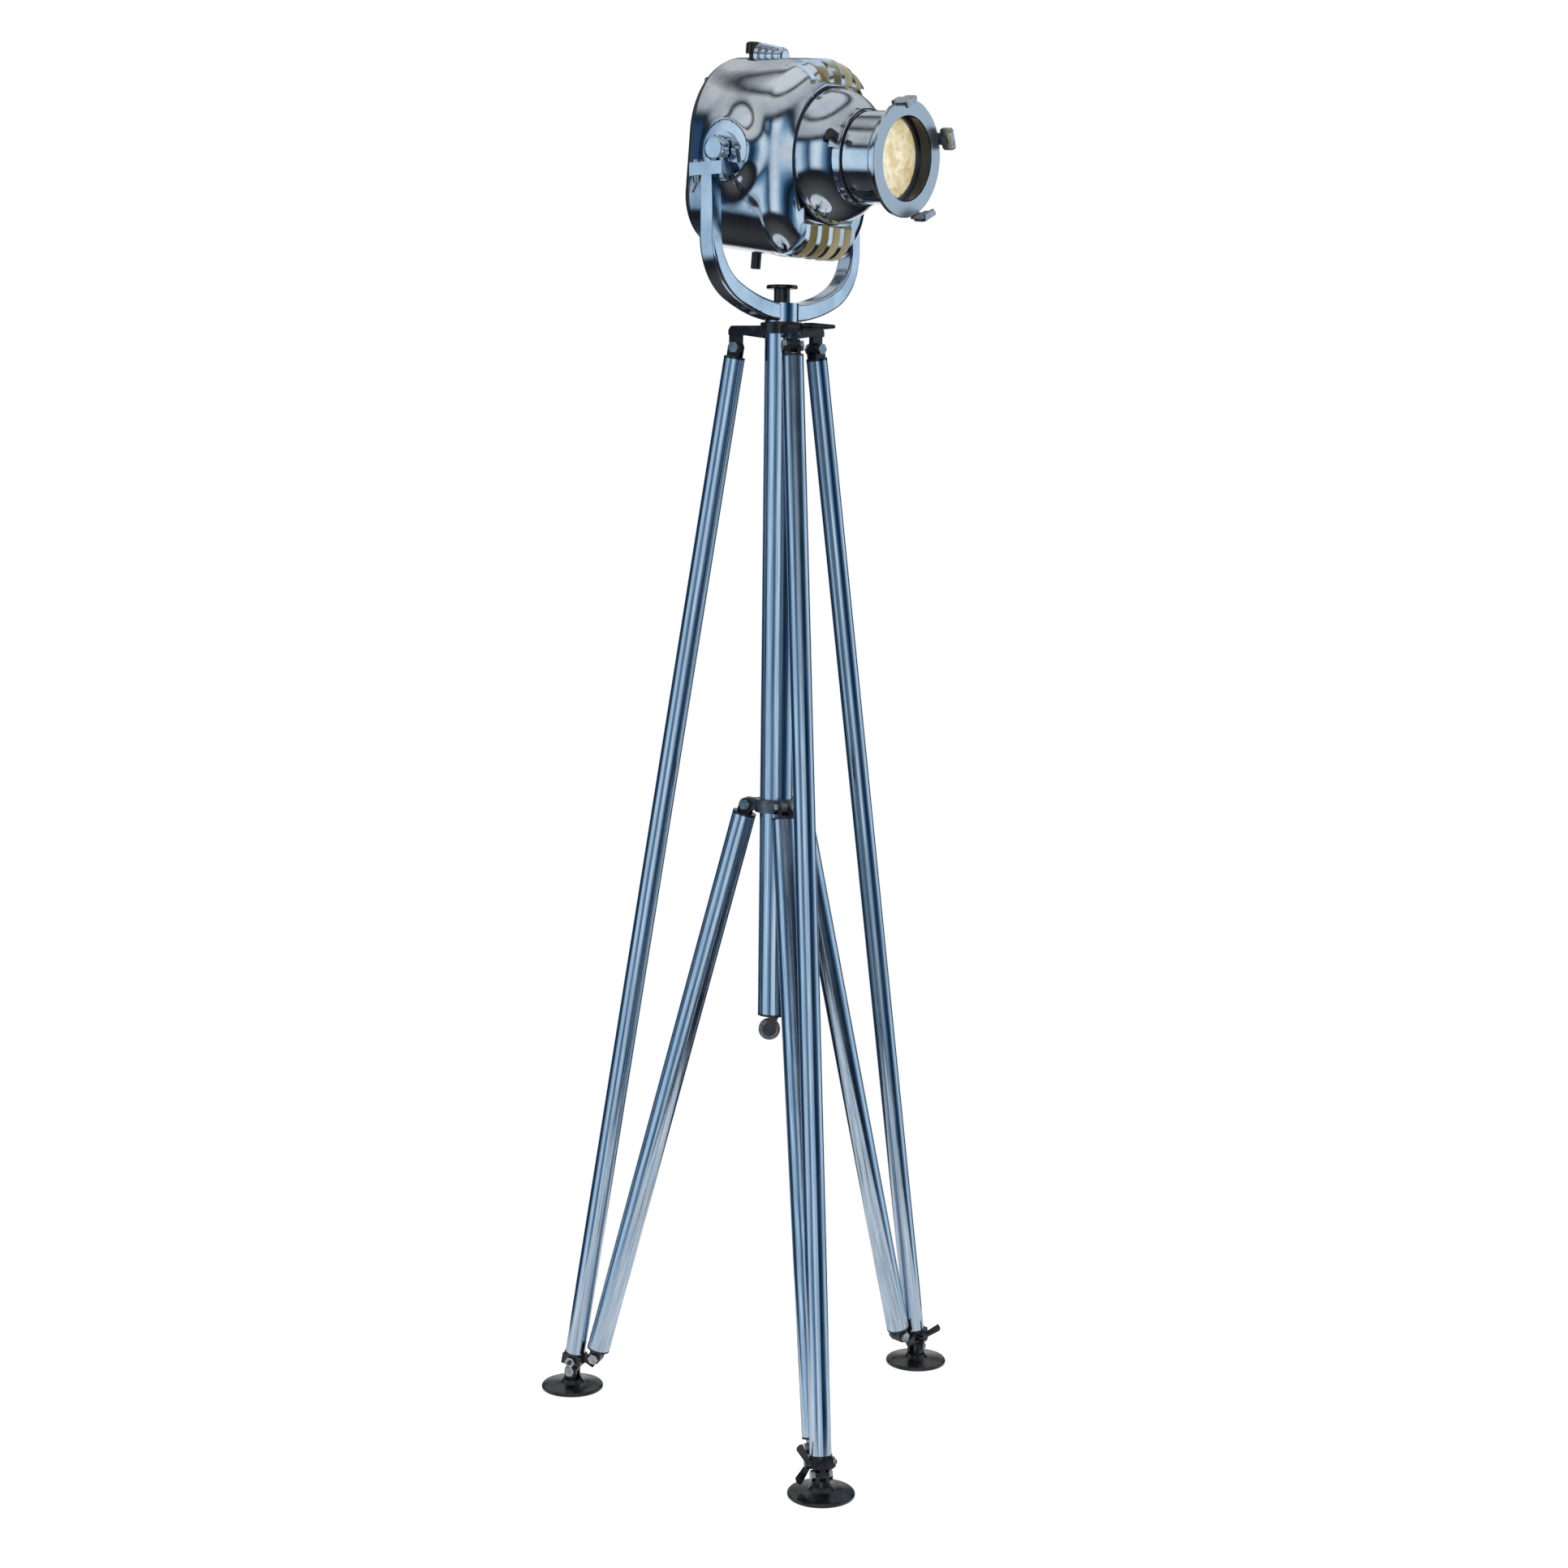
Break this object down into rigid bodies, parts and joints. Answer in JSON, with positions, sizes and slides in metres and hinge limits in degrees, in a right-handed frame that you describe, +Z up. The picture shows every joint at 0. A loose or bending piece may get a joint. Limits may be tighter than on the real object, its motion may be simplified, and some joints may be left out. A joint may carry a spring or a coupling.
{
  "type": "tripod spotlight floor lamp",
  "caption": "Polished theatre-style spotlight head in a yoke on a folding tripod of metal tubes with flat round feet.",
  "frame": {"origin": "on the floor, at the middle of the bounding box's base, which the three feet set", "axes": "+Z up the mast; -Y towards the viewer of the picture, +X to the viewer's right"},
  "size_m": [0.5754, 0.5672, 1.8341],
  "materials": {
    "polished_aluminium": "polished, fine buffing lines",
    "black_enamel": "gloss black enamel on castings",
    "steel": "plated fasteners",
    "grey_casting": "dull cast",
    "grey_rubber": "matt",
    "black_plastic": "matt",
    "amber_lens": "clear, warm tinted",
    "lamp_glass": "clear",
    "holder_ceramic": "glazed ceramic look",
    "reflector_mirror": "spun mirror"
  },
  "bodies": {
    "mast": {"mast_tube": "polished_aluminium", "mast_end_plug": "black_enamel", "hub_spider": "black_enamel", "hub_bolts": "steel", "yoke_spigot": "steel"},
    "yoke": {"yoke": "polished_aluminium", "trunnion_bracket_left": "polished_aluminium", "trunnion_bracket_right": "polished_aluminium", "trunnion_bolts": "steel"},
    "head": {"lamp_house": "polished_aluminium", "rear_cover": "black_enamel", "nose_casting": "polished_aluminium", "roof_cap": "polished_aluminium", "cord_gland": "black_enamel", "tilt_studs": "steel", "tilt_washers": "steel", "lamp_holder": "holder_ceramic", "bulb": "lamp_glass", "reflector": "reflector_mirror"},
    "lens": {"lens_tube": "polished_aluminium", "lens": "amber_lens", "lens_ring": "steel", "frame_clips": "polished_aluminium"},
    "hub_lock": {"hub_lock_screw": "black_enamel"},
    "pan_knob": {"pan_knob": "black_enamel"},
    "tilt_knob_left": {"tilt_knob_left": "polished_aluminium"},
    "tilt_knob_right": {"tilt_knob_right": "polished_aluminium"},
    "trunnion_wing_left": {"trunnion_wing_left": "steel"},
    "trunnion_wing_right": {"trunnion_wing_right": "steel"},
    "focus_knob": {"focus_knob": "black_enamel"},
    "roof_screw": {"roof_screw_knob": "black_enamel"},
    "collar": {"mid_collar": "grey_casting", "collar_bolts": "steel"},
    "castor_swivel": {"castor_fork": "black_enamel"},
    "castor_wheel": {"castor_hub": "black_plastic", "castor_tyre": "grey_rubber"},
    "leg_front": {"leg_tube_front": "polished_aluminium", "leg_fork_front": "black_enamel", "foot_bracket_front": "black_enamel", "foot_bolts_front": "steel"},
    "foot_front": {"foot_disc_front": "black_enamel"},
    "brace_front": {"brace_tube_front": "polished_aluminium", "brace_forks_front": "black_enamel"},
    "wing_front": {"wing_screw_front": "black_enamel"},
    "leg_right": {"leg_tube_right": "polished_aluminium", "leg_fork_right": "black_enamel", "foot_bracket_right": "black_enamel", "foot_bolts_right": "steel"},
    "foot_right": {"foot_disc_right": "black_enamel"},
    "brace_right": {"brace_tube_right": "polished_aluminium", "brace_forks_right": "black_enamel"},
    "wing_right": {"wing_screw_right": "black_enamel"},
    "leg_left": {"leg_tube_left": "polished_aluminium", "leg_fork_left": "black_enamel", "foot_bracket_left": "black_enamel", "foot_bolts_left": "steel"},
    "foot_left": {"foot_disc_left": "black_enamel"},
    "brace_left": {"brace_tube_left": "polished_aluminium", "brace_forks_left": "black_enamel"},
    "wing_left": {"wing_screw_left": "black_enamel"}
  },
  "joints": [
    {"name": "pan", "type": "hinge", "parent": "mast", "child": "yoke", "pos_m": [0.03313, 0.04194, 1.475], "axis": [0, 0, 1], "range_deg": [-170, 170]},
    {"name": "tilt", "type": "hinge", "parent": "yoke", "child": "head", "pos_m": [0.03313, 0.04194, 1.68224], "axis": [0.6101, 0.7923, 0], "range_deg": [-65, 45]},
    {"name": "lens_focus", "type": "slide", "parent": "head", "child": "lens", "axis": [0.7893, -0.6078, -0.0872], "range_m": [-0.028, 0.02]},
    {"name": "pan_knob_turn", "type": "hinge", "parent": "mast", "child": "pan_knob", "pos_m": [0.03313, 0.04194, 1.51], "axis": [0, 0, 1], "continuous": true},
    {"name": "hub_lock_turn", "type": "hinge", "parent": "mast", "child": "hub_lock", "pos_m": [0.03313, 0.04194, 1.46924], "axis": [0.9573, -0.289, 0], "continuous": true},
    {"name": "tilt_knob_left_turn", "type": "hinge", "parent": "head", "child": "tilt_knob_left", "pos_m": [0.03313, 0.04194, 1.68224], "axis": [0.6101, 0.7923, 0], "continuous": true},
    {"name": "tilt_knob_right_turn", "type": "hinge", "parent": "head", "child": "tilt_knob_right", "pos_m": [0.03313, 0.04194, 1.68224], "axis": [0.6101, 0.7923, 0], "continuous": true},
    {"name": "trunnion_wing_left_turn", "type": "hinge", "parent": "yoke", "child": "trunnion_wing_left", "pos_m": [-0.07381, -0.06251, 1.64824], "axis": [0, 0, 1], "continuous": true},
    {"name": "trunnion_wing_right_turn", "type": "hinge", "parent": "yoke", "child": "trunnion_wing_right", "pos_m": [0.1068, 0.17201, 1.64824], "axis": [0, 0, 1], "continuous": true},
    {"name": "focus_knob_turn", "type": "hinge", "parent": "head", "child": "focus_knob", "pos_m": [0.13378, -0.03558, 1.67715], "axis": [-0.5675, -0.7763, 0.2746], "continuous": true},
    {"name": "roof_screw_turn", "type": "hinge", "parent": "head", "child": "roof_screw", "pos_m": [-0.0071, 0.07292, 1.81316], "axis": [0.0691, -0.0532, 0.9962], "continuous": true},
    {"name": "collar_slide", "type": "slide", "parent": "mast", "child": "collar", "axis": [0, 0, 1], "range_m": [-0.001, 0.016]},
    {"name": "castor_swivel_turn", "type": "hinge", "parent": "mast", "child": "castor_swivel", "pos_m": [0.03313, 0.04194, 0.55], "axis": [0, 0, 1], "continuous": true},
    {"name": "castor_roll", "type": "hinge", "parent": "castor_swivel", "child": "castor_wheel", "pos_m": [0.02713, 0.04194, 0.53644], "axis": [0, 1, 0], "continuous": true},
    {"name": "fold_leg_front", "type": "hinge", "parent": "mast", "child": "leg_front", "pos_m": [0.04729, -0.01842, 1.44274], "axis": [0.9736, 0.2284, 0], "range_deg": [0, 7.15]},
    {"name": "fold_brace_front", "type": "hinge", "parent": "collar", "child": "brace_front", "pos_m": [0.04249, 0.00202, 0.84137], "axis": [0.9736, 0.2284, 0], "range_deg": [-0.5, 12.74]},
    {"name": "foot_tilt_front", "type": "hinge", "parent": "leg_front", "child": "foot_front", "pos_m": [0.0994, -0.24059, 0.026], "axis": [0.9736, 0.2284, 0], "range_deg": [-18, 18]},
    {"name": "wing_screw_front_turn", "type": "hinge", "parent": "leg_front", "child": "wing_front", "pos_m": [0.08618, -0.24116, 0.0413], "axis": [-0.9736, -0.2284, 0], "continuous": true},
    {"name": "fold_leg_right", "type": "hinge", "parent": "mast", "child": "leg_right", "pos_m": [0.07833, 0.08438, 1.44274], "axis": [-0.6845, 0.729, 0], "range_deg": [0, 7.15]},
    {"name": "fold_brace_right", "type": "hinge", "parent": "collar", "child": "brace_right", "pos_m": [0.06302, 0.07, 0.84137], "axis": [-0.6845, 0.729, 0], "range_deg": [-0.5, 12.74]},
    {"name": "foot_tilt_right", "type": "hinge", "parent": "leg_right", "child": "foot_right", "pos_m": [0.24468, 0.24059, 0.026], "axis": [-0.6845, 0.729, 0], "range_deg": [-18, 18]},
    {"name": "wing_screw_right_turn", "type": "hinge", "parent": "leg_right", "child": "wing_right", "pos_m": [0.25178, 0.22942, 0.0413], "axis": [0.6845, -0.729, 0], "continuous": true},
    {"name": "fold_leg_left", "type": "hinge", "parent": "mast", "child": "leg_left", "pos_m": [-0.02622, 0.05986, 1.44274], "axis": [-0.289, -0.9573, 0], "range_deg": [0, 7.15]},
    {"name": "fold_brace_left", "type": "hinge", "parent": "collar", "child": "brace_left", "pos_m": [-0.00612, 0.05379, 0.84137], "axis": [-0.289, -0.9573, 0], "range_deg": [-0.5, 12.74]},
    {"name": "foot_tilt_left", "type": "hinge", "parent": "leg_left", "child": "foot_left", "pos_m": [-0.24468, 0.12581, 0.026], "axis": [-0.289, -0.9573, 0], "range_deg": [-18, 18]},
    {"name": "wing_screw_left_turn", "type": "hinge", "parent": "leg_left", "child": "wing_left", "pos_m": [-0.23856, 0.13755, 0.0413], "axis": [0.289, 0.9573, 0], "continuous": true}
  ],
  "couplings": [
    {"joint": "collar_slide", "follows": "fold_leg_left", "m_per_rad": 0.124},
    {"joint": "fold_leg_front", "follows": "fold_leg_left", "ratio": 1},
    {"joint": "fold_brace_front", "follows": "fold_leg_left", "ratio": 1.74},
    {"joint": "fold_leg_right", "follows": "fold_leg_left", "ratio": 1},
    {"joint": "fold_brace_right", "follows": "fold_leg_left", "ratio": 1.74},
    {"joint": "fold_brace_left", "follows": "fold_leg_left", "ratio": 1.74}
  ]
}
